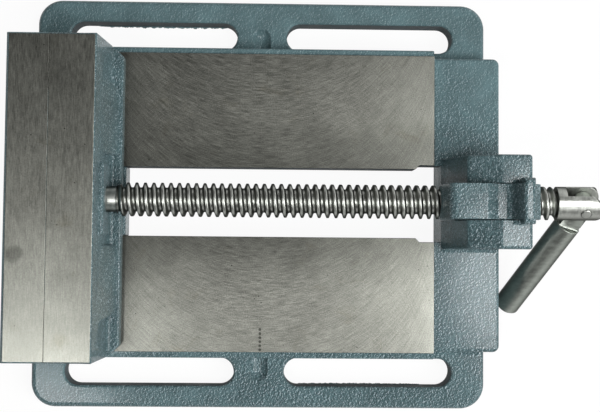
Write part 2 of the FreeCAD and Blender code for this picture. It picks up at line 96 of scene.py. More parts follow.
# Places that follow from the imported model
BASE_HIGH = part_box("base_casting")[1]
JAW_LOW, JAW_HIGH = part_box("movable_jaw")
SCREW_LOW, SCREW_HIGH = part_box("lead_screw")
LEVER_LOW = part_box("release_lever")[0]
WAY_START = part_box("jaw_keeper_plate")[1].x
SCREW_HEIGHT = joint_place("screw_turn").z
LEVER_PIN = joint_place("lever_lift")
HANDLE_PIN = joint_place("handle_fold")
SLOT_LINE = mount_size("clamp_slots", "spacing_y_mm") / 2
SLOT_HALF = mount_size("clamp_slots", "hole_r_mm")

# Places on the castings that tell one finish from another
WAY_END = 85.4 * MM
WAY_TOP = 30 * MM
WAY_GAP_LIMIT = 20 * MM
TONGUE_HALF = 16.9 * MM
SLOT_REACH = SLOT_HALF + 0.4 * MM
FLANGE_LIMIT = 16 * MM
CRADLE_REACH = 32 * MM
POCKET_LINE = 48.9 * MM
RETAINING_LINE = 6.45 * MM

# Finishes of a casting's faces, in the order of its materials
PAINTED, MILLED, GROUND, SHADED_SKIN, DULL_LIGHTENED = range(5)
JAW_GROUND = 1

# Marks on the bare iron
JAW_STAIN = (-110.5 * MM, -26 * MM, JAW_HIGH.z)
JAW_STAIN_REACH = 6 * MM
DOTS_LINE = 0.5 * MM
DOTS_START = -72.7 * MM
DOTS_STEP = 1.95 * MM
DOTS_COUNT = 6.0

# Painted light: the jaws' ground iron is lighter at their front end than at their rear end
FRONT_PAINTED_LIGHT, REAR_PAINTED_LIGHT = 1.17, 0.96

# Painted shade and highlight on the ways: how far each zone reaches and how dark or light it is, and how far
# their edges wander
JAW_SHADE_REACH, JAW_SHADE_TONE = 16 * MM, 0.80
GAP_SHADE_REACH, GAP_SHADE_TONE = 34 * MM, 0.56
END_HIGHLIGHT_REACH, END_HIGHLIGHT_TONE = 11 * MM, 1.06
PAINTED_SHADE_DRIFT = 16 * MM

# Planes through the middle of every hole, so that no flat face is left with a hole inside it
ACROSS_X, ACROSS_Y = (1, 0, 0), (0, 1, 0)
HOLE_PLANES = {
    "base_casting": [(ACROSS_Y, (0, y, 0)) for y in (-SLOT_LINE, -POCKET_LINE, 0, POCKET_LINE, SLOT_LINE)]
    + [(ACROSS_X, LEVER_PIN), (ACROSS_X, (0, 0, 0))],
    "movable_jaw": [(ACROSS_Y, (0, y, 0)) for y in (-RETAINING_LINE, 0, RETAINING_LINE)],
    "jaw_keeper_plate": [(ACROSS_Y, (0, 0, 0))],
    "keeper_bolts": [(ACROSS_Y, (0, 0, 0))],
    "keeper_washers": [(ACROSS_Y, (0, 0, 0))],
    "lead_screw": [(ACROSS_X, HANDLE_PIN)],
    "crank_handle": [(ACROSS_X, HANDLE_PIN)],
    "release_lever": [(ACROSS_X, LEVER_PIN)],
}


# Sizes and colours that a user would change

class VISE_PG_casting(bpy.types.PropertyGroup):
    cast_edge: bpy.props.FloatProperty(
        name="Cast Edge", description="Radius of the painted casting's edges",
        default=0.3 * MM, min=0.0, unit="LENGTH")
    cut_edge: bpy.props.FloatProperty(
        name="Cut Edge", description="Radius left on machined edges",
        default=0.22 * MM, min=0.0, unit="LENGTH")
    paint_colour: bpy.props.FloatVectorProperty(
        name="Paint", description="Colour of the glossy casting paint",
        default=(0.094, 0.160, 0.172), min=0.0, max=1.0, subtype="COLOR")
    paint_grain: bpy.props.FloatProperty(
        name="Paint Grain", description="Width of one bump of the hammered paint",
        default=1.3 * MM, min=0.1 * MM, unit="LENGTH")
    # The cast skin's dark colour is partly painted shade of the slots and the gap
    shaded_skin_colour: bpy.props.FloatVectorProperty(
        name="Cast Skin", description="Colour of the dull cast skin in the slots",
        default=(0.070, 0.088, 0.094), min=0.0, max=1.0, subtype="COLOR")
    iron_colour: bpy.props.FloatVectorProperty(
        name="Iron", description="Colour of machined cast iron",
        default=(0.192, 0.195, 0.172), min=0.0, max=1.0, subtype="COLOR")
    arc_radius: bpy.props.FloatProperty(
        name="Cutter Radius", description="Radius of the face mill's arcs on the ways",
        default=84 * MM, min=10 * MM, unit="LENGTH")
    arc_centre: bpy.props.FloatProperty(
        name="Cutter Centre", description="Place along the screw where the arcs are lowest",
        default=2 * MM, unit="LENGTH")
    arc_spacing: bpy.props.FloatProperty(
        name="Cutter Feed", description="Distance from one arc on the ways to the next",
        default=0.5 * MM, min=0.1 * MM, unit="LENGTH")


class VISE_PG_screw(bpy.types.PropertyGroup):
    pitch: bpy.props.FloatProperty(
        name="Pitch", description="Distance between two crests of the thread",
        default=4 * MM, min=0.5 * MM, unit="LENGTH")
    groove_depth: bpy.props.FloatProperty(
        name="Groove Depth", description="Depth of the thread's groove",
        default=2.3 * MM, min=0.1 * MM, unit="LENGTH")
    facets: bpy.props.IntProperty(
        name="Facets", description="Sides of the thread in one turn", default=56, min=12)
    rows: bpy.props.IntProperty(
        name="Rows", description="Rows of faces along one pitch", default=14, min=6)
    steel_colour: bpy.props.FloatVectorProperty(
        name="Steel", description="Colour of the bright turned steel",
        default=(0.50, 0.515, 0.48), min=0.0, max=1.0, subtype="COLOR")
    handle_colour: bpy.props.FloatVectorProperty(
        name="Handle", description="Colour of the satin handle bar",
        default=(0.41, 0.44, 0.40), min=0.0, max=1.0, subtype="COLOR")


class VISE_PG_stage(bpy.types.PropertyGroup):
    floor_size: bpy.props.FloatProperty(
        name="Floor", description="Width of the white floor", default=6.0, min=1.0, unit="LENGTH")
    rim_bend: bpy.props.FloatProperty(
        name="Rim Bend", description="Radius with which the floor turns up at its rim",
        default=0.9, min=0.1, unit="LENGTH")
    lamp_distance: bpy.props.FloatProperty(
        name="Lamp Distance", description="Distance from the vise to every lamp", default=1.3, min=0.8,
        unit="LENGTH")
    key_power: bpy.props.FloatProperty(
        name="Key Power", description="Power of the main lamp in watts, low at the front right",
        default=12.0, min=0.0)
    right_power: bpy.props.FloatProperty(
        name="Right Power", description="Power in watts of the high lamp at the handle's end",
        default=5.2, min=0.0)
    left_power: bpy.props.FloatProperty(
        name="Left Power", description="Power in watts of the high lamp at the front left",
        default=4.4, min=0.0)
    back_power: bpy.props.FloatProperty(
        name="Back Power", description="Power in watts of the low lamp behind the vise",
        default=3.6, min=0.0)
    ambient: bpy.props.FloatProperty(
        name="Ambient", description="Level of the even light from all round", default=0.04, min=0.0)


# Small helpers for node trees

def put(tree, kind, inputs=None, **settings):
    """Adds a node, sets its own settings and then its sockets."""
    made = tree.nodes.new(kind)
    for name, value in settings.items():
        setattr(made, name, value)
    for name, value in (inputs or {}).items():
        made.inputs[name].default_value = value
    return made


def wire(tree, source, target):
    tree.links.new(source, target)
    return target.node


def maths(tree, operation, a, b=None, clamp=False):
    """A Math node on sockets or plain numbers, which gives its output socket."""
    made = put(tree, "ShaderNodeMath", operation=operation, use_clamp=clamp)
    for index, value in enumerate([a] if b is None else [a, b]):
        if isinstance(value, (int, float)):
            made.inputs[index].default_value = value
        else:
            wire(tree, value, made.inputs[index])
    return made.outputs[0]


def times(tree, a, b, clamp=False):
    return maths(tree, "MULTIPLY", a, b, clamp)


def plus(tree, a, b, clamp=False):
    return maths(tree, "ADD", a, b, clamp)


def minus(tree, a, b, clamp=False):
    return maths(tree, "SUBTRACT", a, b, clamp)


def spread(tree, value, low, high, to_low=0.0, to_high=1.0, smooth=True):
    """Maps low..high to to_low..to_high, with soft ends."""
    kind = "SMOOTHSTEP" if smooth else "LINEAR"
    made = put(tree, "ShaderNodeMapRange", interpolation_type=kind, inputs={
        "From Min": low, "From Max": high, "To Min": to_low, "To Max": to_high})
    wire(tree, value, made.inputs["Value"])
    return made.outputs["Result"]


def mixed(tree, share, first, second, blend="MIX"):
    """A colour mix of two colours or sockets by a share."""
    made = put(tree, "ShaderNodeMix", data_type="RGBA", blend_type=blend)
    for index, value in ((0, share), (6, first), (7, second)):
        if isinstance(value, bpy.types.NodeSocket):
            wire(tree, value, made.inputs[index])
        elif isinstance(value, (int, float)):
            made.inputs[index].default_value = value
        else:
            made.inputs[index].default_value = (*value[:3], 1.0)
    return made.outputs[2]


def shade(colour, factor):
    return tuple(channel * factor for channel in colour[:3])


def group(name, inputs, outputs):
    """A new shader group with its sockets, its input node and its output node."""
    tree = bpy.data.node_groups.new(name, "ShaderNodeTree")
    for socket, value in inputs.items():
        kind = "NodeSocketVector" if isinstance(value, tuple) else "NodeSocketFloat"
        made = tree.interface.new_socket(socket, in_out="INPUT", socket_type=kind)
        made.default_value = value
    for socket, kind in outputs.items():
        tree.interface.new_socket(socket, in_out="OUTPUT", socket_type=kind)
    return tree, put(tree, "NodeGroupInput"), put(tree, "NodeGroupOutput")


def use(tree, name, inputs=None):
    """Places a shader group in a material with its own values."""
    made = put(tree, "ShaderNodeGroup", node_tree=bpy.data.node_groups[name])
    for socket, value in (inputs or {}).items():
        made.inputs[socket].default_value = value
    return made


def object_place(tree):
    """Object coordinates, in metres."""
    return put(tree, "ShaderNodeTexCoord").outputs["Object"]


def axes(tree, where):
    """The X, Y and Z outputs of a vector."""
    made = put(tree, "ShaderNodeSeparateXYZ")
    wire(tree, where, made.inputs[0])
    return made.outputs


def noise_at(tree, where, scale=1.0, detail=2.0, roughness=0.5, distortion=0.0):
    made = put(tree, "ShaderNodeTexNoise", inputs={
        "Scale": scale, "Detail": detail, "Roughness": roughness, "Distortion": distortion})
    wire(tree, where, made.inputs["Vector"])
    return made.outputs["Fac"]


# Shader groups that several finishes share

def build_grain_group():
    """Streaks: noise stretched along one axis, for ground and drawn metal."""
    tree, ins, outs = group("Streaks", {"Scale": (1.0, 1.0, 1.0)}, {"Value": "NodeSocketFloat"})
    made = put(tree, "ShaderNodeVectorMath", operation="MULTIPLY")
    wire(tree, object_place(tree), made.inputs[0])
    wire(tree, ins.outputs["Scale"], made.inputs[1])
    fine = noise_at(tree, made.outputs[0], 1.0, 3.0, 0.65)
    wide = noise_at(tree, made.outputs[0], 0.23, 2.0, 0.5)
    total = plus(tree, times(tree, fine, 0.8), times(tree, wide, 0.2))
    wire(tree, total, outs.inputs["Value"])


def build_mottle_group():
    """Clouds, stains and pores of bare iron, from large to small."""
    tree, ins, outs = group("Iron Mottle", {"Cloud Size": 18 * MM}, {
        "Clouds": "NodeSocketFloat", "Stains": "NodeSocketFloat", "Pores": "NodeSocketFloat"})
    where = object_place(tree)
    size = maths(tree, "DIVIDE", 1.0, ins.outputs["Cloud Size"])
    cloud = put(tree, "ShaderNodeTexNoise", inputs={"Detail": 4.0, "Roughness": 0.6})
    wire(tree, where, cloud.inputs["Vector"])
    wire(tree, size, cloud.inputs["Scale"])
    wire(tree, cloud.outputs["Fac"], outs.inputs["Clouds"])
    stain = noise_at(tree, where, 75.0, 5.0, 0.62, 0.6)
    wire(tree, spread(tree, stain, 0.57, 0.76), outs.inputs["Stains"])
    pores = put(tree, "ShaderNodeTexVoronoi", feature="F1", inputs={"Scale": 260.0, "Randomness": 1.0})
    wire(tree, where, pores.inputs["Vector"])
    dots = spread(tree, pores.outputs["Distance"], 0.05, 0.11, 1.0, 0.0)
    few = spread(tree, noise_at(tree, where, 140.0, 1.0), 0.56, 0.62)
    wire(tree, times(tree, dots, few), outs.inputs["Pores"])


def build_arc_group():
    """Arcs that a wide face mill leaves, with a fainter set from its trailing edge."""
    tree, ins, outs = group("Milling Arcs", {"Radius": 84 * MM, "Centre": 0.0, "Spacing": 1 * MM}, {
        "Value": "NodeSocketFloat", "Trail": "NodeSocketFloat", "Bands": "NodeSocketFloat",
        "Scratches": "NodeSocketFloat"})
    place = axes(tree, object_place(tree))
    across = minus(tree, place["X"], ins.outputs["Centre"])
    radius = ins.outputs["Radius"]
    inner = minus(tree, times(tree, radius, radius), times(tree, across, across))
    rise = maths(tree, "SQRT", maths(tree, "MAXIMUM", inner, 0.0))
    steps = {}
    for name, operation in (("front", "ADD"), ("back", "SUBTRACT")):
        turn = maths(tree, operation, place["Y"], rise)
        steps[name] = maths(tree, "DIVIDE", turn, ins.outputs["Spacing"])
    for output, side, scale, strokes, seed in (
            ("Value", "front", 1.0, 150.0, 0.0), ("Trail", "back", 1.0, 170.0, 7.0),
            ("Bands", "front", 0.13, 60.0, 3.0), ("Scratches", "front", 0.8, 45.0, 11.0)):
        where = put(tree, "ShaderNodeCombineXYZ", inputs={"Z": seed})
        wire(tree, times(tree, steps[side], scale), where.inputs["X"])
        wire(tree, times(tree, across, strokes), where.inputs["Y"])
        value = noise_at(tree, where.outputs[0], 1.0, 3.0, 0.65)
        if output == "Scratches":
            value = spread(tree, value, 0.70, 0.76)
        wire(tree, value, outs.inputs[output])


def build_way_shade_group():
    """Painted shade on the ways near the jaw and the gap, and a painted highlight at their far end, from
    their edges inwards.
    """
    tree, ins, outs = group("Way Painted Shade", {"Jaw End": -67 * MM, "Far End": 85 * MM, "Inner Edge": 17 * MM},
                            {"Shade": "NodeSocketFloat"})
    where = object_place(tree)
    place = axes(tree, where)
    cloud = noise_at(tree, where, 45.0, 4.0, 0.6)
    drift = times(tree, minus(tree, cloud, 0.5), PAINTED_SHADE_DRIFT)
    from_jaw = plus(tree, minus(tree, place["X"], ins.outputs["Jaw End"]), drift)
    from_end = minus(tree, minus(tree, ins.outputs["Far End"], place["X"]), drift)
    aside = maths(tree, "ABSOLUTE", place["Y"])
    from_gap = plus(tree, minus(tree, aside, ins.outputs["Inner Edge"]), drift)
    at_jaw = spread(tree, from_jaw, 0.0, JAW_SHADE_REACH, JAW_SHADE_TONE, 1.0)
    at_gap = spread(tree, from_gap, -3 * MM, GAP_SHADE_REACH, GAP_SHADE_TONE, 1.02)
    at_end = spread(tree, from_end, 0.0, END_HIGHLIGHT_REACH, END_HIGHLIGHT_TONE, 1.0)
    wire(tree, times(tree, times(tree, at_jaw, at_gap), at_end), outs.inputs["Shade"])


def bumps_place(tree, where, scale):
    """Object coordinates counted in bumps instead of metres."""
    made = put(tree, "ShaderNodeVectorMath", operation="SCALE")
    wire(tree, where, made.inputs[0])
    wire(tree, scale, made.inputs["Scale"])
    return made.outputs[0]


# From one bump of the paint towards the side that its painted light comes from, counted in bumps, and the
# slopes that get painted glints
PAINTED_LIGHT_STEP = (0.33, -0.14, 0.0)
PAINTED_GLINT_START, PAINTED_GLINT_FULL = 0.08, 0.19

# The paint grows rough from one line across the vise to another, and both wander
ROUGH_START, ROUGH_FULL, ROUGH_DRIFT = -0.08, 0.11, 0.22


def build_hammer_group():
    """Height of thick hammered paint, rougher in one zone, with a slow change of tint, and its relief and
    glints, which are painted light and shade as if lit from one side.
    """
    tree, ins, outs = group("Hammered Paint", {"Width": 1.5 * MM, "Least": 0.5}, {
        "Height": "NodeSocketFloat", "Tint": "NodeSocketFloat", "Relief": "NodeSocketFloat",
        "Glints": "NodeSocketFloat"})
    where = object_place(tree)
    scale = maths(tree, "DIVIDE", 1.0, ins.outputs["Width"])
    counted = bumps_place(tree, where, scale)
    downhill = put(tree, "ShaderNodeVectorMath", operation="ADD", inputs={1: PAINTED_LIGHT_STEP})
    wire(tree, counted, downhill.inputs[0])
    here, beside = [noise_at(tree, spot, 1.3, 2.0, 0.55, 1.0) for spot in (counted, downhill.outputs[0])]
    tilt = minus(tree, here, beside)
    dimples = put(tree, "ShaderNodeTexVoronoi", feature="SMOOTH_F1", inputs={
        "Smoothness": 0.6, "Scale": 0.8})
    wire(tree, counted, dimples.inputs["Vector"])
    skin = plus(tree, times(tree, here, 0.75), times(tree, dimples.outputs["Distance"], 0.35))
    place = axes(tree, where)
    slope = minus(tree, times(tree, place["X"], 0.8), place["Y"])
    cloud = noise_at(tree, where, 26.0, 3.0)
    zone = plus(tree, slope, times(tree, minus(tree, cloud, 0.5), ROUGH_DRIFT))
    rough = maths(tree, "MAXIMUM", spread(tree, zone, ROUGH_START, ROUGH_FULL), ins.outputs["Least"])
    # Painted highlights: glints on the slopes that face the side of the painted light
    glints = spread(tree, tilt, PAINTED_GLINT_START, PAINTED_GLINT_FULL)
    wire(tree, times(tree, glints, rough), outs.inputs["Glints"])
    # Painted light and shade: the relief's slope, for the paint's colour
    wire(tree, times(tree, tilt, rough), outs.inputs["Relief"])
    wire(tree, times(tree, skin, rough), outs.inputs["Height"])
    wire(tree, noise_at(tree, where, 60.0, 5.0, 0.65), outs.inputs["Tint"])


# Finishes

# Colour of the painted highlights that stand for glints on the paint
PAINTED_GLINT_COLOUR = (0.62, 0.70, 0.75)
PIN_COLOUR = (0.5, 0.5, 0.49)
KEEPER_COLOUR = (0.33, 0.32, 0.30)
ZINC_COLOUR = (0.22, 0.22, 0.235)
PAINT_SPECULAR, PAINT_COAT, COAT_ROUGHNESS = 0.3, 0.5, 0.12
SKIN_SPECULAR = 0.15
IRON_METALLIC = 0.9
PAINT_BUMP, SKIN_BUMP, IRON_BUMP = 1.6 * MM, 0.5 * MM, 0.012 * MM


def new_material(name):
    """An empty material with a Principled shader, ready for its finish."""
    material = bpy.data.materials.new(name)
    material.use_nodes = True
    tree = material.node_tree
    tree.nodes.clear()
    surface = put(tree, "ShaderNodeBsdfPrincipled")
    wire(tree, surface.outputs[0], put(tree, "ShaderNodeOutputMaterial").inputs["Surface"])
    return material, tree, surface


def bump(tree, surface, height, distance, strength=1.0):
    made = put(tree, "ShaderNodeBump", inputs={"Distance": distance, "Strength": strength})
    wire(tree, height, made.inputs["Height"])
    wire(tree, made.outputs["Normal"], surface.inputs["Normal"])


def casting_paint(settings, name, tone, gloss_and_painted_glints, least):
    """Thick blue-grey paint with a hammered skin, whose relief is painted into its colour as light and shade
    from one side and whose glints are painted highlights: least is how rough it still is where it is
    smoothest.
    """
    material, tree, surface = new_material(name)
    skin = use(tree, "Hammered Paint", {"Width": settings.paint_grain, "Least": least})
    base = shade(settings.paint_colour, tone)
    worn = spread(tree, skin.outputs["Tint"], 0.35, 0.72)
    colour = mixed(tree, worn, shade(base, 0.86), shade(base, 1.18))
    # Painted light and shade of the paint's relief, as if lit from one side
    relief = spread(tree, skin.outputs["Relief"], -0.2, 0.2, 0.55, 1.45, smooth=False)
    uneven = mixed(tree, 1.0, colour, grey_of(tree, relief), "MULTIPLY")
    # Painted highlights: glints mixed into the colour, by the same share that sets the real gloss
    bright = mixed(tree, times(tree, skin.outputs["Glints"], gloss_and_painted_glints), uneven, PAINTED_GLINT_COLOUR)
    wire(tree, bright, surface.inputs["Base Color"])
    wire(tree, spread(tree, skin.outputs["Tint"], 0.3, 0.7, 0.34, 0.5), surface.inputs["Roughness"])
    surface.inputs["Specular IOR Level"].default_value = PAINT_SPECULAR * gloss_and_painted_glints
    surface.inputs["Coat Weight"].default_value = PAINT_COAT * gloss_and_painted_glints
    surface.inputs["Coat Roughness"].default_value = COAT_ROUGHNESS
    bump(tree, surface, skin.outputs["Height"], PAINT_BUMP)
    return material


def bare_casting(settings):
    """The walls of the slots and of the gap between the ways: dull cast skin, where the paint hardly
    reached, whose dark colour is partly painted shade of these recesses.
    """
    material, tree, surface = new_material("bare_casting")
    skin = use(tree, "Hammered Paint", {"Width": 0.8 * settings.paint_grain})
    base = tuple(settings.shaded_skin_colour)
    tint = spread(tree, skin.outputs["Tint"], 0.35, 0.7)
    wire(tree, mixed(tree, tint, shade(base, 0.7), shade(base, 1.4)), surface.inputs["Base Color"])
    wire(tree, spread(tree, skin.outputs["Tint"], 0.3, 0.7, 0.6, 0.8), surface.inputs["Roughness"])
    surface.inputs["Specular IOR Level"].default_value = SKIN_SPECULAR
    bump(tree, surface, skin.outputs["Height"], SKIN_BUMP)
    return material


def spot_at(tree, place, reach):
    """A soft ragged spot round one place: 1 in the middle and 0 beyond its reach."""
    where = object_place(tree)
    away = put(tree, "ShaderNodeVectorMath", operation="DISTANCE", inputs={1: place})
    wire(tree, where, away.inputs[0])
    ragged = times(tree, minus(tree, noise_at(tree, where, 160.0, 3.0), 0.5), reach)
    return spread(tree, plus(tree, away.outputs["Value"], ragged), 0.3 * reach, reach, 1.0, 0.0)


def punched(tree, tone):
    """Darkens a tone at a short column of small punched dots on the front way."""
    place = axes(tree, object_place(tree))
    along = maths(tree, "DIVIDE", minus(tree, place["Y"], DOTS_START), DOTS_STEP)
    inside = times(tree, maths(tree, "GREATER_THAN", along, 0.0),
                   maths(tree, "LESS_THAN", along, DOTS_COUNT))
    from_row = times(tree, minus(tree, maths(tree, "FRACT", along), 0.5), DOTS_STEP)
    from_line = minus(tree, place["X"], DOTS_LINE)
    squares = plus(tree, times(tree, from_row, from_row), times(tree, from_line, from_line))
    away = maths(tree, "SQRT", squares)
    dot = times(tree, spread(tree, away, 0.22 * DOTS_STEP, 0.48 * DOTS_STEP, 1.0, 0.0), inside)
    return times(tree, tone, spread(tree, dot, 0.0, 1.0, 1.0, 0.35))


def grey_of(tree, value):
    """One value in all three channels, to multiply a colour by."""
    made = put(tree, "ShaderNodeCombineColor")
    for channel in ("Red", "Green", "Blue"):
        wire(tree, value, made.inputs[channel])
    return made.outputs[0]


def iron_colour(tree, settings, mottle):
    """Bare iron's colour with clouds, stains and pores."""
    base = tuple(settings.iron_colour)
    clouds = spread(tree, mottle.outputs["Clouds"], 0.3, 0.7)
    cloudy = mixed(tree, clouds, shade(base, 0.9), shade(base, 1.1))
    brown = (base[0] * 0.66, base[1] * 0.60, base[2] * 0.48)
    stained = mixed(tree, times(tree, mottle.outputs["Stains"], 0.35), cloudy, brown)
    return mixed(tree, times(tree, mottle.outputs["Pores"], 0.8), stained, shade(base, 0.15))


def milled_iron(settings):
    """The ways: face-milled iron with wide arcs, with painted shade near the jaw and the gap and a painted
    highlight at the far end.
    """
    material, tree, surface = new_material("milled_iron")
    mottle = use(tree, "Iron Mottle")
    arcs = use(tree, "Milling Arcs", {"Radius": settings.arc_radius, "Centre": settings.arc_centre,
                                      "Spacing": settings.arc_spacing})
    way_shade = use(tree, "Way Painted Shade", {"Jaw End": WAY_START, "Far End": WAY_END, "Inner Edge": TONGUE_HALF})
    grain = noise_at(tree, object_place(tree), 1900.0, 2.0, 0.6)
    colour = iron_colour(tree, settings, mottle)
    # Painted shade and highlight on the ways start the tone
    tone = way_shade.outputs["Shade"]
    for value, reach in ((arcs.outputs["Value"], 0.25), (arcs.outputs["Trail"], 0.14),
                         (arcs.outputs["Bands"], 0.08), (grain, 0.26)):
        tone = times(tree, tone, spread(tree, value, 0.3, 0.7, 1 - reach, 1 + reach, smooth=False))
    tone = times(tree, tone, spread(tree, arcs.outputs["Scratches"], 0.0, 1.0, 1.0, 0.62))
    tone = punched(tree, tone)
    wire(tree, mixed(tree, 1.0, colour, grey_of(tree, tone), "MULTIPLY"), surface.inputs["Base Color"])
    surface.inputs["Metallic"].default_value = IRON_METALLIC
    wire(tree, spread(tree, arcs.outputs["Value"], 0.3, 0.7, 0.29, 0.38), surface.inputs["Roughness"])
    height = plus(tree, arcs.outputs["Value"], times(tree, arcs.outputs["Trail"], 0.4))
    bump(tree, surface, height, IRON_BUMP)
    return material


def ground_iron(settings):
    """Jaw tops, faces and ends: ground iron with straight grain along Y, one oily stain, and painted light
    that makes it lighter towards the front end.
    """
    material, tree, surface = new_material("ground_iron")
    mottle = use(tree, "Iron Mottle", {"Cloud Size": 22 * MM})
    streaks = use(tree, "Streaks", {"Scale": (2400.0, 210.0, 900.0)})
    grain = noise_at(tree, object_place(tree), 1700.0, 2.0, 0.6)
    colour = iron_colour(tree, settings, mottle)
    tone = spread(tree, streaks.outputs["Value"], 0.3, 0.7, 0.77, 1.23, smooth=False)
    tone = times(tree, tone, spread(tree, grain, 0.3, 0.7, 0.86, 1.14, smooth=False))
    place = axes(tree, object_place(tree))
    # Painted light: lighter towards the front end
    painted_light_gradient = spread(tree, place["Y"], JAW_LOW.y, JAW_HIGH.y, FRONT_PAINTED_LIGHT, REAR_PAINTED_LIGHT, smooth=False)
    tone = times(tree, tone, painted_light_gradient)
    spot = spot_at(tree, JAW_STAIN, JAW_STAIN_REACH)
    tone = times(tree, tone, spread(tree, spot, 0.0, 1.0, 1.0, 0.62))
    wire(tree, mixed(tree, 1.0, colour, grey_of(tree, tone), "MULTIPLY"), surface.inputs["Base Color"])
    surface.inputs["Metallic"].default_value = IRON_METALLIC
    wire(tree, spread(tree, streaks.outputs["Value"], 0.3, 0.7, 0.28, 0.38), surface.inputs["Roughness"])
    bump(tree, surface, streaks.outputs["Value"], IRON_BUMP)
    return material


def steel(name, colour, roughness, grain, depth, edge=0.45):
    """Steel with fine tool marks, whose grain is counted per metre, with painted shade that darkens it by
    edge where it turns away from the eye.
    """
    material, tree, surface = new_material(name)
    streaks = use(tree, "Streaks", {"Scale": grain})
    low, high = shade(colour, 0.82), shade(colour, 1.12)
    lined = mixed(tree, spread(tree, streaks.outputs["Value"], 0.3, 0.7), low, high)
    # Painted shade: the colour darkens where the surface turns away from the eye
    turned = put(tree, "ShaderNodeLayerWeight", inputs={"Blend": 0.5}).outputs["Facing"]
    dark = spread(tree, turned, 0.12, 0.75, 1.0, edge)
    wire(tree, mixed(tree, 1.0, lined, grey_of(tree, dark), "MULTIPLY"), surface.inputs["Base Color"])
    surface.inputs["Specular Tint"].default_value = (edge, edge, edge, 1.0)
    surface.inputs["Metallic"].default_value = 1.0
    wire(tree, spread(tree, streaks.outputs["Value"], 0.3, 0.7, roughness * 0.8, roughness * 1.25),
         surface.inputs["Roughness"])
    bump(tree, surface, streaks.outputs["Value"], depth)
    return material


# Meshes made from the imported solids

FINE_EDGE, SMALL_EDGE, BROKEN_EDGE, RIVET_EDGE = 0.2 * MM, 0.3 * MM, 0.4 * MM, 0.6 * MM


def merged(node):
    """A copy of a CAD node's mesh with its loose triangles joined into whole faces without holes."""
    bm = bmesh.new()
    bm.from_mesh(frame["nodes"][node].data)
    bmesh.ops.remove_doubles(bm, verts=bm.verts, dist=SAME_POINT)
    for normal, place in HOLE_PLANES.get(node, []):
        everything = bm.verts[:] + bm.edges[:] + bm.faces[:]
        cut = bmesh.ops.bisect_plane(bm, geom=everything, dist=SAME_POINT, plane_co=place, plane_no=normal)
        for item in cut["geom_cut"]:
            if isinstance(item, bmesh.types.BMEdge):
                item.seam = True
    bmesh.ops.dissolve_limit(bm, angle_limit=FLAT_ANGLE, verts=bm.verts, edges=bm.edges, delimit={"SEAM"})
    bm.normal_update()
    return bm


def object_from(bm, name, materials):
    mesh = bpy.data.meshes.new(name)
    bm.to_mesh(mesh)
    bm.free()
    made = bpy.data.objects.new(name, mesh)
    bpy.context.scene.collection.objects.link(made)
    for material in materials:
        mesh.materials.append(material)
    return made


def settle(obj):
    """Applies an object's modifiers to its mesh."""
    graph = bpy.context.evaluated_depsgraph_get()
    mesh = bpy.data.meshes.new_from_object(obj.evaluated_get(graph), depsgraph=graph)
    old = obj.data
    obj.modifiers.clear()
    obj.data = mesh
    bpy.data.meshes.remove(old)
    mesh.name = obj.name


def soften(obj, width, segments=2):
    """Rounds the edges by their weights and evens the shading of the flats."""
    rounder = obj.modifiers.new("round", "BEVEL")
    rounder.limit_method = "WEIGHT"
    rounder.width = width
    rounder.segments = segments
    rounder.use_clamp_overlap = False
    rounder.miter_outer = "MITER_ARC"
    for polygon in obj.data.polygons:
        polygon.use_smooth = True
    even = obj.modifiers.new("even", "WEIGHTED_NORMAL")
    even.keep_sharp = True
    even.weight = 60
    settle(obj)


def room_to_round(loop, weights, width):
    """Whether the rounded edges that meet at a face's corner have the room that they need there."""
    before, after = loop.link_loop_prev.edge, loop.edge
    if not before[weights] and not after[weights]:
        return True
    angle = loop.calc_angle()
    if angle < LEAST_CORNER:
        return False
    reach = 1.2 * width / max(math.sin(angle), math.sin(LEAST_CORNER))
    return all(edge[weights] or edge.calc_length() > reach for edge in (before, after))


def weigh_edges(bm, share_of, width):
    """Gives every sharp edge the share of the full radius that share_of says, where there is room for it."""
    weights = bm.edges.layers.float.new("bevel_weight_edge")
    for edge in bm.edges:
        if len(edge.link_faces) == 2 and edge.calc_face_angle(0.0) > EDGE_ANGLE:
            edge[weights] = share_of(edge)
    crowded = True
    while crowded:
        corners = [loop for face in bm.faces for loop in face.loops]
        crowded = [loop for loop in corners if not room_to_round(loop, weights, width)]
        for loop in crowded:
            loop.edge[weights] = 0.0
            loop.link_loop_prev.edge[weights] = 0.0


def finish_piece(obj, node):
    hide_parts(node)
    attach(obj, frame["nodes"][node]["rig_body"])
    return obj


def cast_shape(name, node, materials, finish_of, settings):
    """A casting's mesh: finish_of gives each face the index of its material."""
    bm = merged(node)
    for face in bm.faces:
        face.material_index = finish_of(face)

    def share_of(edge):
        bare = any(PAINTED < face.material_index < DULL_LIGHTENED for face in edge.link_faces)
        return settings.cut_edge / settings.cast_edge if bare else 1.0

    weigh_edges(bm, share_of, settings.cast_edge)
    piece = object_from(bm, name, materials)
    soften(piece, settings.cast_edge)
    return piece


def plain_piece(name, node, finish, radius):
    """A turned or cut piece with one finish and a small even edge."""
    bm = merged(node)
    weigh_edges(bm, lambda edge: 1.0, radius)
    piece = object_from(bm, name, [bpy.data.materials[finish]])
    soften(piece, radius)
    return finish_piece(piece, node)


def level(face, height):
    return abs(face.normal.z) > STRAIGHT and abs(face.calc_center_median().z - height) < ON_PLANE


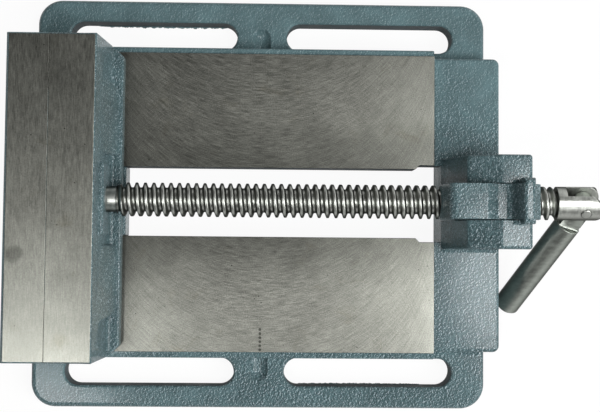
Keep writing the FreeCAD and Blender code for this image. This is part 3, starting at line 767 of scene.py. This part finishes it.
def base_finish(face):
    """Milled ways, ground jaw and sole, bare skin, darkened as painted shade, in the gap and slots, and dull
    paint, lighter as painted fill light, on the cradle's front faces.
    """
    centre = face.calc_center_median()
    if level(face, WAY_TOP):
        return MILLED
    if level(face, BASE_HIGH.z) or level(face, 0.0):
        return GROUND
    # Painted shade: the walls in the gap between the ways take the dark skin
    if abs(face.normal.y) > STRAIGHT and centre.z < WAY_TOP and abs(centre.y) < WAY_GAP_LIMIT:
        return SHADED_SKIN
    if centre.x < JAW_LOW.x + ON_PLANE and centre.z > WAY_TOP:
        if face.normal.x > STRAIGHT or abs(face.normal.y) > STRAIGHT:
            return GROUND
    # Painted shade: the slots' walls take the dark skin
    beside_slot = abs(abs(centre.y) - SLOT_LINE) < SLOT_REACH and centre.z < FLANGE_LIMIT
    if beside_slot and abs(face.normal.z) < 0.5:
        return SHADED_SKIN
    # Painted fill light: the cradle's front faces, turned away from the main lamp, get the dull and lighter
    # paint
    if centre.x > WAY_END and face.normal.x < -0.5 and abs(centre.y) < CRADLE_REACH:
        return DULL_LIGHTENED
    return PAINTED


def jaw_finish(face):
    """Ground faces of the movable jaw, and its painted back and boss."""
    centre = face.calc_center_median()
    if level(face, JAW_HIGH.z) or face.normal.z < -STRAIGHT or face.normal.x < -STRAIGHT:
        return JAW_GROUND
    if abs(face.normal.y) > STRAIGHT and abs(centre.y) > JAW_HIGH.y - ON_PLANE:
        return JAW_GROUND
    if centre.z < WAY_TOP and face.normal.x < 0.5:
        return JAW_GROUND
    return PAINTED


class VISE_OT_base(bpy.types.Operator):
    """Makes the base casting with its milled ways and painted flange"""
    bl_idname = "vise.base"
    bl_label = "Base Casting"

    def execute(self, context):
        settings = context.scene.vise_casting
        materials = [bpy.data.materials[n] for n in (
            "casting_paint", "milled_iron", "ground_iron", "bare_casting", "dull_paint")]
        base = cast_shape("base_body", "base_casting", materials, base_finish, settings)
        tree = flash_tree()
        flashes = [grown("flash", tree, {
            "Start": start, "End": end, "Line": line, "Reach": reach, "Finish": materials[0]})
            for start, end, line, reach in (REAR_FLASH, FRONT_FLASH)]
        welded(base, flashes)
        finish_piece(base, "base_casting")
        return {"FINISHED"}


class VISE_OT_jaw(bpy.types.Operator):
    """Makes the movable jaw with its ground head and painted back"""
    bl_idname = "vise.jaw"
    bl_label = "Movable Jaw"

    def execute(self, context):
        settings = context.scene.vise_casting
        materials = [bpy.data.materials[n] for n in ("jaw_paint", "ground_iron")]
        jaw = cast_shape("jaw_body", "movable_jaw", materials, jaw_finish, settings)
        finish_piece(jaw, "movable_jaw")
        return {"FINISHED"}


class VISE_OT_lever(bpy.types.Operator):
    """Makes the release lever with its threaded half nut"""
    bl_idname = "vise.lever"
    bl_label = "Release Lever"

    def execute(self, context):
        settings = context.scene.vise_casting
        materials = [bpy.data.materials[n] for n in ("casting_paint", "pin_steel")]
        lever = cast_shape("release_lever_body", "release_lever", materials, lambda face: PAINTED, settings)
        welded(lever, [half_nut(context.scene.vise_screw, materials)])
        finish_piece(lever, "release_lever")
        return {"FINISHED"}


# Lead screw, half nut and flash, all grown by geometry nodes

THREAD_START = SCREW_LOW.x + 24 * MM
HEAD_START = SCREW_HIGH.x - 21.4 * MM
SCREW_RADIUS = 8 * MM
CREST_HALF, ROOT_HALF = 0.22, 0.80
OVERLAP = 0.4 * MM
WELD_ANGLE = math.radians(48)

# The half nut: its length in the lever, its room round the thread, and how far above the axis it starts
NUT_LENGTH = 17.8 * MM
NUT_MARGIN = 0.6 * MM
NUT_ROOM = 0.35 * MM
NUT_LIP = 5.1 * MM
NUT_RADIUS = 8.8 * MM
NUT_SIDES = 64
NUT_STEEL = 1

# Flash along a slot's wall: start, end, line and reach
SLOT_WALL = SLOT_LINE + SLOT_HALF
REAR_FLASH = (-84 * MM, -15 * MM, SLOT_WALL, 1.1 * MM)
FRONT_FLASH = (20 * MM, 82 * MM, -SLOT_WALL, 0.5 * MM)
FLASH_RAGS = 420
FLASH_LEAST = 0.15 * MM
FLASH_ROOT = 0.8 * MM
FLASH_HEIGHT = 0.7 * MM
FLASH_LIFT = 0.25 * MM
FLASH_STEPS = 160


def shape_tree(name, sizes, counts=None):
    """A new geometry tree with its named inputs, and the sockets that give them."""
    tree = bpy.data.node_groups.new(name, "GeometryNodeTree")
    tree.interface.new_socket("Geometry", in_out="INPUT", socket_type="NodeSocketGeometry")
    for kind, values in (("NodeSocketFloat", sizes), ("NodeSocketInt", counts or {})):
        for label, value in values.items():
            made = tree.interface.new_socket(label, in_out="INPUT", socket_type=kind)
            made.default_value = value
    tree.interface.new_socket("Finish", in_out="INPUT", socket_type="NodeSocketMaterial")
    tree.interface.new_socket("Geometry", in_out="OUTPUT", socket_type="NodeSocketGeometry")
    return tree, put(tree, "NodeGroupInput").outputs


def placed(tree, mesh, position):
    """Moves every point of a mesh to its new position."""
    made = put(tree, "GeometryNodeSetPosition")
    wire(tree, mesh, made.inputs["Geometry"])
    wire(tree, position, made.inputs["Position"])
    return made.outputs["Geometry"]


def end_tree(tree, geometry, material):
    """Ends a geometry tree with a real mesh in one material."""
    real = put(tree, "GeometryNodeRealizeInstances")
    wire(tree, geometry, real.inputs["Geometry"])
    finish = put(tree, "GeometryNodeSetMaterial")
    wire(tree, real.outputs["Geometry"], finish.inputs["Geometry"])
    wire(tree, material, finish.inputs["Material"])
    wire(tree, finish.outputs["Geometry"], put(tree, "NodeGroupOutput").inputs["Geometry"])
    return tree


def thread_tree():
    """Geometry nodes for a screw thread: a grid wrapped round the axis, deep where the groove is."""
    tree, get = shape_tree("Screw Thread", {
        "Start": 0.0, "End": 0.1, "Pitch": 4 * MM, "Crest Radius": 8 * MM, "Root Radius": 5.7 * MM,
        "Run Out": 3 * MM, "Height": 0.05}, {"Facets": 56, "Rows": 14})

    length = plus(tree, minus(tree, get["End"], get["Start"]), get["Pitch"])
    step = maths(tree, "DIVIDE", get["Pitch"], get["Rows"])
    steps = maths(tree, "CEIL", maths(tree, "DIVIDE", length, step))
    grid = put(tree, "GeometryNodeMeshGrid", inputs={"Size X": 1.0, "Size Y": 1.0})
    wire(tree, plus(tree, get["Facets"], 1.0), grid.inputs["Vertices X"])
    wire(tree, plus(tree, steps, 1.0), grid.inputs["Vertices Y"])
    place = axes(tree, put(tree, "GeometryNodeInputPosition").outputs[0])
    turn = plus(tree, place["X"], 0.5)
    share = plus(tree, place["Y"], 0.5)

    lead_in = minus(tree, get["Start"], get["Pitch"])
    untwisted = plus(tree, lead_in, times(tree, times(tree, share, steps), step))
    twisted = plus(tree, untwisted, times(tree, turn, get["Pitch"]))
    along = maths(tree, "MINIMUM", maths(tree, "MAXIMUM", twisted, get["Start"]), get["End"])

    phase = maths(tree, "FRACT", maths(tree, "DIVIDE", untwisted, get["Pitch"]))
    from_crest = times(tree, maths(tree, "ABSOLUTE", minus(tree, phase, 0.5)), 2.0)
    crest = spread(tree, from_crest, CREST_HALF, ROOT_HALF, 1.0, 0.0)
    near = maths(tree, "MINIMUM", minus(tree, along, get["Start"]), minus(tree, get["End"], along))
    fade = maths(tree, "DIVIDE", near, get["Run Out"], clamp=True)
    height = times(tree, crest, fade)
    depth = minus(tree, get["Crest Radius"], get["Root Radius"])
    radius = plus(tree, get["Root Radius"], times(tree, height, depth))

    angle = times(tree, turn, 2 * math.pi)
    where = put(tree, "ShaderNodeCombineXYZ")
    wire(tree, along, where.inputs["X"])
    wire(tree, times(tree, radius, maths(tree, "COSINE", angle)), where.inputs["Y"])
    lift = times(tree, radius, maths(tree, "SINE", angle))
    wire(tree, plus(tree, lift, get["Height"]), where.inputs["Z"])

    closed = put(tree, "GeometryNodeMergeByDistance", inputs={"Distance": SAME_POINT})
    wire(tree, placed(tree, grid.outputs["Mesh"], where.outputs[0]), closed.inputs["Geometry"])
    return end_tree(tree, closed.outputs["Geometry"], get["Finish"])


def flash_tree():
    """Geometry nodes for a thin ragged fin of flash that sticks out of a slot's outer wall into the slot."""
    tree, get = shape_tree("Casting Flash", {"Start": 0.0, "End": 10 * MM, "Line": 0.0, "Reach": 1 * MM})
    bar = put(tree, "GeometryNodeMeshCube", inputs={"Size": (1.0, 1.0, 1.0), "Vertices X": FLASH_STEPS})
    place = axes(tree, put(tree, "GeometryNodeInputPosition").outputs[0])
    share = plus(tree, place["X"], 0.5)
    span = minus(tree, get["End"], get["Start"])
    along = plus(tree, get["Start"], times(tree, share, span))
    where = put(tree, "ShaderNodeCombineXYZ", inputs={"Y": 4.0})
    wire(tree, times(tree, along, FLASH_RAGS), where.inputs["X"])
    rags = spread(tree, noise_at(tree, where.outputs[0], 1.0, 4.0, 0.7), 0.35, 0.68)
    ragged = times(tree, rags, get["Reach"])
    ends = maths(tree, "SINE", times(tree, share, math.pi))
    soft = times(tree, ragged, maths(tree, "POWER", maths(tree, "MAXIMUM", ends, 0.0), 0.4))
    side = maths(tree, "SIGN", get["Line"])
    inwards = times(tree, side, plus(tree, soft, FLASH_LEAST))
    root = plus(tree, get["Line"], times(tree, side, FLASH_ROOT))
    tip = minus(tree, get["Line"], inwards)
    from_tip = plus(tree, times(tree, place["Y"], side), 0.5)
    aside = plus(tree, tip, times(tree, from_tip, minus(tree, root, tip)))
    new = put(tree, "ShaderNodeCombineXYZ")
    wire(tree, along, new.inputs["X"])
    wire(tree, aside, new.inputs["Y"])
    up = times(tree, plus(tree, place["Z"], 0.5), FLASH_HEIGHT)
    wire(tree, plus(tree, up, FLASH_LIFT), new.inputs["Z"])

    return end_tree(tree, placed(tree, bar.outputs["Mesh"], new.outputs[0]), get["Finish"])


def grown(name, tree, values):
    """Runs a geometry tree with its named inputs and keeps the result as a plain mesh."""
    obj = bpy.data.objects.new(name, bpy.data.meshes.new(name))
    bpy.context.scene.collection.objects.link(obj)
    modifier = obj.modifiers.new("grow", "NODES")
    modifier.node_group = tree
    for item in tree.interface.items_tree:
        if item.in_out == "INPUT" and item.name in values:
            modifier[item.identifier] = values[item.name]
    settle(obj)
    return obj


def capped(obj):
    """Closes the two open ends of a tube, turns its faces outwards and shades them smoothly."""
    bm = bmesh.new()
    bm.from_mesh(obj.data)
    bmesh.ops.dissolve_degenerate(bm, dist=SAME_POINT / 2, edges=bm.edges)
    bmesh.ops.holes_fill(bm, edges=[e for e in bm.edges if e.is_boundary], sides=0)
    bmesh.ops.recalc_face_normals(bm, faces=bm.faces)
    for face in bm.faces:
        face.smooth = True
    bm.to_mesh(obj.data)
    bm.free()


def cut_off(bm, place, normal, keep_above):
    """Cuts a solid at a plane, keeps one side closed, and gives the edges of the cut."""
    everything = bm.verts[:] + bm.edges[:] + bm.faces[:]
    cut = bmesh.ops.bisect_plane(bm, geom=everything, plane_co=place, plane_no=normal,
                                 clear_inner=keep_above, clear_outer=not keep_above)
    rim = [edge for edge in cut["geom_cut"] if isinstance(edge, bmesh.types.BMEdge)]
    bmesh.ops.holes_fill(bm, edges=rim, sides=0)
    bmesh.ops.recalc_face_normals(bm, faces=bm.faces)
    return rim


def end_part(name, node, cut_x, keep_above, material):
    """The stretch of a CAD solid beyond a plane across the screw, closed at the cut."""
    bm = merged(node)
    rim = cut_off(bm, (cut_x, 0, 0), ACROSS_X, keep_above)
    weigh_edges(bm, lambda edge: 0.0 if edge in rim else 1.0, SMALL_EDGE)
    part = object_from(bm, name, [material])
    soften(part, SMALL_EDGE)
    return part


def thread_sizes(settings, start, end, room, finish):
    """The inputs of the thread tree: room is how far the thread stands outside the screw's own."""
    return {"Start": start, "End": end, "Pitch": settings.pitch, "Crest Radius": SCREW_RADIUS + room,
            "Root Radius": SCREW_RADIUS - settings.groove_depth + room, "Height": SCREW_HEIGHT,
            "Facets": settings.facets, "Rows": settings.rows, "Finish": finish}


def half_nut(settings, materials):
    """The threaded lining of the lever's bore, above the screw."""
    start, end = LEVER_LOW.x + NUT_MARGIN, LEVER_LOW.x + NUT_LENGTH - NUT_MARGIN
    middle = Matrix.Translation(((start + end) / 2, 0, SCREW_HEIGHT))
    bm = bmesh.new()
    bmesh.ops.create_cone(bm, cap_ends=True, segments=NUT_SIDES, radius1=NUT_RADIUS, radius2=NUT_RADIUS,
                          depth=end - start, matrix=middle @ Matrix.Rotation(math.pi / 2, 4, "Y"))
    cut_off(bm, (0, 0, SCREW_HEIGHT + NUT_LIP), (0, 0, 1), True)
    for face in bm.faces:
        face.material_index = NUT_STEEL
    nut = object_from(bm, "half_nut", materials)
    long = 2 * settings.pitch
    sizes = thread_sizes(settings, start - long, end + long, NUT_ROOM, materials[NUT_STEEL])
    cutter = grown("cutter", thread_tree(), sizes)
    capped(cutter)
    for polygon in cutter.data.polygons:
        polygon.material_index = NUT_STEEL
    cutter.data.materials.clear()
    for material in materials:
        cutter.data.materials.append(material)
    return welded(nut, [cutter], "DIFFERENCE")


def welded(first, others, operation="UNION"):
    """One closed skin made of several solids that overlap."""
    for other in others:
        modifier = first.modifiers.new("weld", "BOOLEAN")
        modifier.operation = operation
        modifier.solver = "MANIFOLD"
        modifier.object = other
    settle(first)
    bm = bmesh.new()
    bm.from_mesh(first.data)
    for face in bm.faces:
        face.smooth = True
    for edge in bm.edges:
        edge.smooth = edge.calc_face_angle(0.0) < WELD_ANGLE
    bm.to_mesh(first.data)
    bm.free()
    even = first.modifiers.new("even", "WEIGHTED_NORMAL")
    even.keep_sharp = True
    settle(first)
    for other in others:
        mesh = other.data
        bpy.data.objects.remove(other)
        bpy.data.meshes.remove(mesh)
    return first


class VISE_OT_screw(bpy.types.Operator):
    """Makes the lead screw with its helical thread and forked head"""
    bl_idname = "vise.screw"
    bl_label = "Lead Screw"

    def execute(self, context):
        settings = context.scene.vise_screw
        bright = bpy.data.materials["bright_steel"]
        thread = grown("lead_screw_body", thread_tree(), thread_sizes(
            settings, THREAD_START - OVERLAP, HEAD_START + OVERLAP, 0.0, bright))
        capped(thread)
        nose = end_part("nose", "lead_screw", THREAD_START, False, bright)
        head = end_part("head", "lead_screw", HEAD_START, True, bright)
        welded(thread, [nose, head])
        finish_piece(thread, "lead_screw")
        return {"FINISHED"}


class VISE_OT_handle(bpy.types.Operator):
    """Makes the crank handle and the pin that it folds on"""
    bl_idname = "vise.handle"
    bl_label = "Crank Handle"

    def execute(self, context):
        plain_piece("handle_bar", "crank_handle", "satin_steel", SMALL_EDGE)
        plain_piece("handle_rivet", "handle_pin", "bright_steel", RIVET_EDGE)
        return {"FINISHED"}


class VISE_OT_fasteners(bpy.types.Operator):
    """Makes the keeper plate, its bolts and washers, and the pins"""
    bl_idname = "vise.fasteners"
    bl_label = "Keeper and Pins"

    def execute(self, context):
        plain_piece("keeper", "jaw_keeper_plate", "keeper_steel", BROKEN_EDGE)
        plain_piece("keeper_bolt_pair", "keeper_bolts", "dark_zinc", SMALL_EDGE)
        plain_piece("keeper_washer_pair", "keeper_washers", "dark_zinc", FINE_EDGE)
        plain_piece("retaining_pin_pair", "screw_retaining_pins", "pin_steel", SMALL_EDGE)
        plain_piece("lever_pin", "lever_pivot_pin", "pin_steel", BROKEN_EDGE)
        return {"FINISHED"}


class VISE_OT_finishes(bpy.types.Operator):
    """Builds the shader groups and the finishes of every piece"""
    bl_idname = "vise.finishes"
    bl_label = "Finishes"

    def execute(self, context):
        build_grain_group()
        build_mottle_group()
        build_arc_group()
        build_way_shade_group()
        build_hammer_group()
        casting, screw = context.scene.vise_casting, context.scene.vise_screw
        casting_paint(casting, "casting_paint", tone=0.97, gloss_and_painted_glints=0.6, least=0.3)
        # The jaw's paint is the same paint, darker as painted shade on its back, which faces the main lamp,
        # and with more painted glints
        casting_paint(casting, "jaw_paint", tone=0.80, gloss_and_painted_glints=0.65, least=0.65)
        # The same paint with little gloss, lighter as painted fill light on the cradle's front faces
        casting_paint(casting, "dull_paint", tone=1.2, gloss_and_painted_glints=0.2, least=0.3)
        bare_casting(casting)
        milled_iron(casting)
        ground_iron(casting)
        steel("bright_steel", tuple(screw.steel_colour), roughness=0.40, grain=(900.0, 300.0, 300.0),
              depth=0.005 * MM, edge=0.3)
        steel("satin_steel", tuple(screw.handle_colour), roughness=0.36, grain=(260.0, 700.0, 260.0),
              depth=0.02 * MM, edge=0.4)
        steel("pin_steel", PIN_COLOUR, roughness=0.3, grain=(700.0, 80.0, 700.0), depth=0.02 * MM)
        steel("keeper_steel", KEEPER_COLOUR, roughness=0.42, grain=(90.0, 1500.0, 900.0), depth=0.04 * MM)
        steel("dark_zinc", ZINC_COLOUR, roughness=0.36, grain=(900.0, 900.0, 900.0), depth=0.03 * MM)
        return {"FINISHED"}


# Stage

# The camera looks straight down: its place, turn in degrees, lens, sensor and shift
CAMERA_PLACE = (3.625 * MM, -21.615 * MM, 616.036 * MM)
CAMERA_TURN = (3.1632, -1.5568, 0.5083)
CAMERA_LENS = 71.92
CAMERA_SENSOR = 36.0
CAMERA_SHIFT = (0.0003, -0.0429)

# The floor: just below the vise, turned up by so many degrees at its rim
FLOOR_HEIGHT = -0.2 * MM
FLOOR_RISE = 75
FLOOR_STEPS = 14
FLOOR_SIDES = 72
FLOOR_MATT, FLOOR_WHITE = 0.3, 0.95
FLOOR_GLOW = 0.93

# Each lamp's elevation and azimuth in degrees, and its width
KEY_LAMP = (42, 338, 0.8)
RIGHT_LAMP = (70, 352, 0.32)
LEFT_LAMP = (68, 225, 0.3)
BACK_LAMP = (22, 45, 1.0)


def white_to_the_eye(tree, seen, unseen):
    """Shows seen to the camera and in reflections, and unseen to the light that falls on things."""
    path = put(tree, "ShaderNodeLightPath")
    eye = plus(tree, path.outputs["Is Camera Ray"], path.outputs["Is Glossy Ray"])
    eye = plus(tree, eye, path.outputs["Is Transmission Ray"], clamp=True)
    made = put(tree, "ShaderNodeMixShader")
    wire(tree, eye, made.inputs[0])
    wire(tree, unseen, made.inputs[1])
    wire(tree, seen, made.inputs[2])
    return made.outputs[0]


def floor_material():
    """A white table that keeps a faint shadow."""
    material = bpy.data.materials.new("white_floor")
    material.use_nodes = True
    tree = material.node_tree
    tree.nodes.clear()
    matt, bright = [put(tree, "ShaderNodeBsdfDiffuse", inputs={"Color": (tone, tone, tone, 1.0)})
                    for tone in (FLOOR_MATT, FLOOR_WHITE)]
    glow = put(tree, "ShaderNodeEmission", inputs={"Strength": 1.0})
    both = put(tree, "ShaderNodeMixShader", inputs={"Fac": FLOOR_GLOW})
    wire(tree, bright.outputs[0], both.inputs[1])
    wire(tree, glow.outputs[0], both.inputs[2])
    wire(tree, white_to_the_eye(tree, both.outputs[0], matt.outputs[0]),
         put(tree, "ShaderNodeOutputMaterial").inputs["Surface"])
    return material


def floor_mesh(half, bend):
    """A round floor that turns up all round at its rim."""
    bm = bmesh.new()
    centre = bm.verts.new((0.0, 0.0, FLOOR_HEIGHT))
    rings = []
    for step in range(FLOOR_STEPS + 1):
        angle = math.radians(FLOOR_RISE) * step / FLOOR_STEPS
        radius = half - bend + bend * math.sin(angle)
        height = FLOOR_HEIGHT + bend * (1 - math.cos(angle))
        turns = [2 * math.pi * side / FLOOR_SIDES for side in range(FLOOR_SIDES)]
        ring = [(radius * math.cos(turn), radius * math.sin(turn), height) for turn in turns]
        rings.append([bm.verts.new(point) for point in ring])
    for side in range(FLOOR_SIDES):
        after = (side + 1) % FLOOR_SIDES
        bm.faces.new((centre, rings[0][side], rings[0][after]))
        for low, high in zip(rings, rings[1:]):
            bm.faces.new((low[side], high[side], high[after], low[after]))
    for face in bm.faces:
        face.smooth = True
    return bm


def lamp(name, kind, distance, power):
    """A round soft lamp of one kind that looks at the vise from a distance."""
    elevation, azimuth, size = kind
    light = bpy.data.lights.new(name, "AREA")
    light.shape = "DISK"
    light.size = size
    light.energy = power
    made = bpy.data.objects.new(name, light)
    bpy.context.scene.collection.objects.link(made)
    rise, turn = math.radians(elevation), math.radians(azimuth)
    level_part = math.cos(rise)
    place = distance * Vector((level_part * math.cos(turn), level_part * math.sin(turn), math.sin(rise)))
    made.location = place
    made.rotation_euler = (-place).to_track_quat("-Z", "Y").to_euler()
    return made


class VISE_OT_stage(bpy.types.Operator):
    """Makes the white floor, the soft lamps and the camera above the vise"""
    bl_idname = "vise.stage"
    bl_label = "Stage"

    def execute(self, context):
        settings = context.scene.vise_stage
        rim = floor_mesh(settings.floor_size / 2, settings.rim_bend)
        object_from(rim, "floor", [floor_material()])

        away = settings.lamp_distance
        lamp("key", KEY_LAMP, away, settings.key_power)
        lamp("right", RIGHT_LAMP, away, settings.right_power)
        lamp("left", LEFT_LAMP, away, settings.left_power)
        lamp("back", BACK_LAMP, away, settings.back_power)

        world = bpy.data.worlds.new("studio")
        context.scene.world = world
        world.use_nodes = True
        tree = world.node_tree
        tree.nodes.clear()
        even = put(tree, "ShaderNodeBackground", inputs={
            "Color": (1.0, 1.0, 1.0, 1.0), "Strength": settings.ambient})
        wire(tree, even.outputs[0], put(tree, "ShaderNodeOutputWorld").inputs["Surface"])

        camera = bpy.data.objects.new("camera", bpy.data.cameras.new("camera"))
        context.scene.collection.objects.link(camera)
        camera.location = CAMERA_PLACE
        camera.rotation_euler = Euler([math.radians(a) for a in CAMERA_TURN], "XYZ")
        camera.data.lens = CAMERA_LENS
        camera.data.sensor_width = CAMERA_SENSOR
        camera.data.shift_x, camera.data.shift_y = CAMERA_SHIFT
        camera.data.clip_start = 0.01
        context.scene.camera = camera
        context.scene.view_settings.view_transform = "Standard"
        return {"FINISHED"}


class VISE_PT_panel(bpy.types.Panel):
    """Buttons for every part of the vise"""
    bl_idname = "VISE_PT_panel"
    bl_label = "Drill Press Vise"
    bl_space_type = "VIEW_3D"
    bl_region_type = "UI"
    bl_category = "Vise"

    def draw(self, context):
        for operator in OPERATORS:
            self.layout.operator(operator.bl_idname)
        for group_name in PROPERTY_GROUPS:
            settings = getattr(context.scene, group_name)
            for name in settings.__annotations__:
                self.layout.prop(settings, name)


PROPERTY_GROUPS = {
    "vise_casting": VISE_PG_casting,
    "vise_screw": VISE_PG_screw,
    "vise_stage": VISE_PG_stage,
}
OPERATORS = [VISE_OT_finishes, VISE_OT_base, VISE_OT_jaw, VISE_OT_lever, VISE_OT_screw, VISE_OT_handle,
             VISE_OT_fasteners, VISE_OT_stage]


def register():
    for kind in [*PROPERTY_GROUPS.values(), *OPERATORS, VISE_PT_panel]:
        bpy.utils.register_class(kind)
    for name, kind in PROPERTY_GROUPS.items():
        setattr(bpy.types.Scene, name, bpy.props.PointerProperty(type=kind))


def unregister():
    for name in PROPERTY_GROUPS:
        delattr(bpy.types.Scene, name)
    for kind in reversed([*PROPERTY_GROUPS.values(), *OPERATORS, VISE_PT_panel]):
        bpy.utils.unregister_class(kind)


def main():
    register()
    bpy.ops.vise.finishes()
    bpy.ops.vise.base()
    bpy.ops.vise.jaw()
    bpy.ops.vise.lever()
    bpy.ops.vise.screw()
    bpy.ops.vise.handle()
    bpy.ops.vise.fasteners()
    bpy.ops.vise.stage()


if __name__ == "__main__":
    main()
